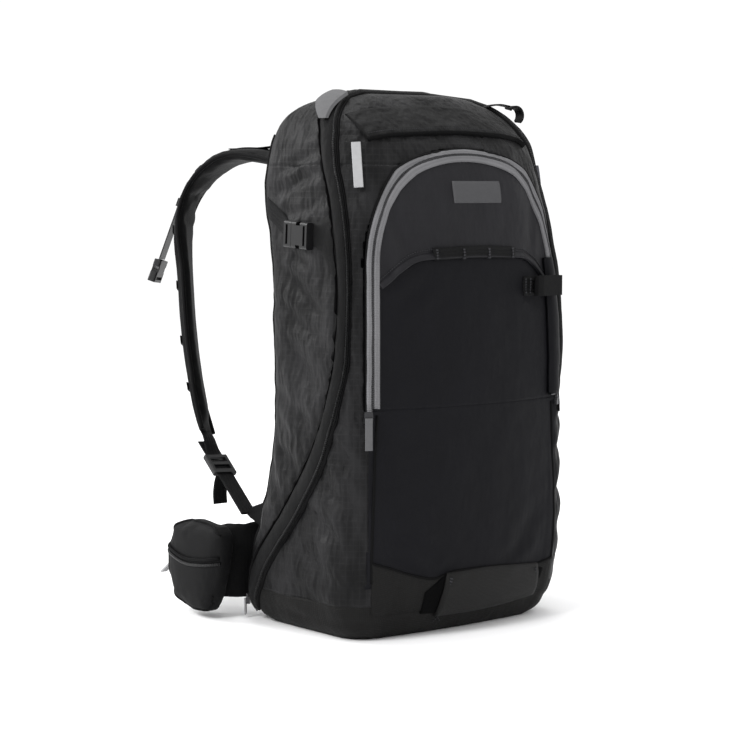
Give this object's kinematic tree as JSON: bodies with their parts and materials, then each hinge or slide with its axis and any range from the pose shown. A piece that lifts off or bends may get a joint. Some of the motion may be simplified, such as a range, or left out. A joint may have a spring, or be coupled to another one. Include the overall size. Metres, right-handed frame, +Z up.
{
  "type": "avalanche airbag backpack",
  "caption": "Ski touring backpack with a folded airbag, a trigger on the shoulder strap, a fold-down tool compartment, padded harness and hip belt.",
  "frame": {"origin": "middle of the flat base that the pack stands on", "axes": "+Z up, -Y the outer face with the tool compartment, +Y the wearer's side, -X the wearer's left"},
  "size_m": [0.395, 0.4489, 0.589],
  "materials": {
    "side_fabric": "fine ripstop weave",
    "front_fabric": "coated packcloth",
    "lid_fabric": "fine ripstop weave",
    "base_fabric": "heavy coated weave",
    "lining": "plain lining",
    "seam_fabric": "piped cover strip",
    "dark_zip": "woven tape",
    "grey_tape": "woven zip tape",
    "pull_fabric": "grosgrain tab",
    "webbing": "flat webbing",
    "mesh_foam": "foam under spacer mesh",
    "pad_fabric": "foam under fabric",
    "buckle_plastic": "moulded satin",
    "frame_plastic": "sheet",
    "stay_metal": "satin",
    "airbag_nylon": "coated nylon",
    "cylinder_paint": "satin paint",
    "valve_metal": "machined",
    "needle_paint": "matte",
    "ejector_plastic": "moulded",
    "handle_plastic": "moulded satin",
    "cable_rubber": "smooth jacket",
    "slider_metal": "enamelled"
  },
  "bodies": {
    "bag": {"air_cylinder": "cylinder_paint", "airbag_packed": "airbag_nylon", "back_pads": "mesh_foam", "back_wall": "side_fabric", "base_panel": "base_fabric", "burst_flap": "seam_fabric", "burst_slider": "slider_metal", "burst_zipper": "dark_zip", "compression_females": "buckle_plastic", "compression_straps": "webbing", "crown_loops": "webbing", "cylinder_valve": "valve_metal", "divider_wall": "lining", "frame_sheet": "frame_plastic", "frame_stays": "stay_metal", "front_frame": "side_fabric", "front_lower_panel": "front_fabric", "front_zip_outer": "grey_tape", "inflation_ejector": "ejector_plastic", "lid_crown": "lid_fabric", "lid_flap": "lid_fabric", "lower_sling": "base_fabric", "side_panel_left": "side_fabric", "side_panel_right": "side_fabric", "strap_webbings": "webbing", "tool_sleeves": "lining", "top_corner_tab": "grey_tape", "webbing_tabs": "pad_fabric"},
    "front_flap": {"front_flap_panel": "front_fabric", "front_zip_inner": "grey_tape", "front_yoke": "front_fabric", "front_strip": "webbing", "axe_loop": "webbing"},
    "front_slider": {"front_slider": "slider_metal"},
    "front_pull": {"front_pull": "pull_fabric"},
    "lid_pull": {"lid_pull": "pull_fabric"},
    "burst_pull": {"burst_pull": "pull_fabric"},
    "compression_male_left": {"compression_male_left": "buckle_plastic"},
    "compression_male_right": {"compression_male_right": "buckle_plastic"},
    "shoulder_left": {"shoulder_pad_left": "pad_fabric", "load_lifter_left": "webbing", "ladder_lock_left": "buckle_plastic"},
    "shoulder_right": {"shoulder_pad_right": "pad_fabric", "load_lifter_right": "webbing", "ladder_lock_right": "buckle_plastic", "trigger_holster": "pad_fabric", "trigger_cable": "cable_rubber"},
    "trigger_handle": {"trigger_handle": "handle_plastic"},
    "valve_plunger": {"valve_plunger": "valve_metal"},
    "gauge_needle": {"gauge_needle": "needle_paint"},
    "sternum_left": {"sternum_half_left": "buckle_plastic"},
    "sternum_right": {"sternum_half_right": "buckle_plastic"},
    "hip_left": {"hip_wing_left": "pad_fabric", "hip_pocket_left": "pad_fabric"},
    "hip_right": {"hip_wing_right": "pad_fabric", "hip_pocket_right": "pad_fabric"},
    "pocket_pull_left": {"pocket_pull_left": "pull_fabric"},
    "pocket_pull_right": {"pocket_pull_right": "pull_fabric"},
    "waist_left": {"waist_buckle_left": "buckle_plastic"},
    "waist_right": {"waist_buckle_right": "buckle_plastic"}
  },
  "joints": [
    {"name": "front_flap_fold", "type": "hinge", "parent": "bag", "child": "front_flap", "pos_m": [0, -0.119, 0.25], "axis": [1, 0, 0], "range_deg": [0, 70]},
    {"name": "front_slider_run", "type": "slide", "parent": "bag", "child": "front_slider", "axis": [0, 0, 1], "range_m": [0, 0.12]},
    {"name": "front_pull_swing", "type": "hinge", "parent": "front_slider", "child": "front_pull", "pos_m": [-0.14184, -0.10669, 0.243], "axis": [-0.8944, 0.4472, 0], "range_deg": [0, 80]},
    {"name": "lid_pull_swing", "type": "hinge", "parent": "bag", "child": "lid_pull", "pos_m": [-0.13368, -0.07463, 0.53], "axis": [-0.7771, 0.6293, 0], "range_deg": [0, 60]},
    {"name": "burst_pull_swing", "type": "hinge", "parent": "bag", "child": "burst_pull", "pos_m": [-0.14697, 0.10832, 0.022], "axis": [0.7071, 0.7071, 0], "range_deg": [0, 60]},
    {"name": "compression_release_left", "type": "slide", "parent": "bag", "child": "compression_male_left", "axis": [0, 0.9982, 0.0599], "range_m": [0, 0.022]},
    {"name": "compression_release_right", "type": "slide", "parent": "bag", "child": "compression_male_right", "axis": [0, 0.9982, 0.0599], "range_m": [0, 0.022]},
    {"name": "shoulder_swing_left", "type": "hinge", "parent": "bag", "child": "shoulder_left", "pos_m": [-0.06, 0.0835, 0.503], "axis": [1, 0, 0], "range_deg": [-6, 6], "deforming": ["strap_webbings"]},
    {"name": "shoulder_swing_right", "type": "hinge", "parent": "bag", "child": "shoulder_right", "pos_m": [0.06, 0.0835, 0.503], "axis": [1, 0, 0], "range_deg": [-6, 6], "deforming": ["strap_webbings"]},
    {"name": "trigger_pull", "type": "slide", "parent": "shoulder_right", "child": "trigger_handle", "axis": [0.0416, -0.225, -0.9735], "range_m": [0, 0.045]},
    {"name": "valve_stroke", "type": "slide", "parent": "bag", "child": "valve_plunger", "axis": [0, 0, -1], "range_m": [0, 0.0045]},
    {"name": "gauge_turn", "type": "hinge", "parent": "bag", "child": "gauge_needle", "pos_m": [0.066, -0.0376, 0.288], "axis": [0, 1, 0], "range_deg": [-110, 110]},
    {"name": "sternum_swing_left", "type": "hinge", "parent": "shoulder_left", "child": "sternum_left", "pos_m": [-0.10403, 0.29462, 0.46474], "axis": [-0.58, 0.7446, 0.3302], "range_deg": [-70, 0]},
    {"name": "sternum_swing_right", "type": "hinge", "parent": "shoulder_right", "child": "sternum_right", "pos_m": [0.10403, 0.29462, 0.46474], "axis": [0.58, 0.7446, 0.3302], "range_deg": [0, 70]},
    {"name": "hip_close_left", "type": "hinge", "parent": "bag", "child": "hip_left", "pos_m": [-0.1, 0.118, 0.062], "axis": [0, 0, 1], "range_deg": [-25, 0]},
    {"name": "hip_close_right", "type": "hinge", "parent": "bag", "child": "hip_right", "pos_m": [0.1, 0.118, 0.062], "axis": [0, 0, 1], "range_deg": [0, 25]},
    {"name": "pocket_pull_left_swing", "type": "hinge", "parent": "hip_left", "child": "pocket_pull_left", "pos_m": [-0.18, 0.2046, 0.054], "axis": [1, 0, 0], "range_deg": [-35, 50]},
    {"name": "pocket_pull_right_swing", "type": "hinge", "parent": "hip_right", "child": "pocket_pull_right", "pos_m": [0.18, 0.2046, 0.054], "axis": [1, 0, 0], "range_deg": [-35, 50]},
    {"name": "waist_bend_left", "type": "hinge", "parent": "hip_left", "child": "waist_left", "pos_m": [-0.1575, 0.23263, 0.056], "axis": [0, 0, 1], "range_deg": [-18, 18]},
    {"name": "waist_bend_right", "type": "hinge", "parent": "hip_right", "child": "waist_right", "pos_m": [0.1575, 0.23263, 0.056], "axis": [0, 0, 1], "range_deg": [-18, 18]}
  ],
  "couplings": [
    {"joint": "valve_stroke", "follows": "trigger_pull", "ratio": 0.1}
  ]
}
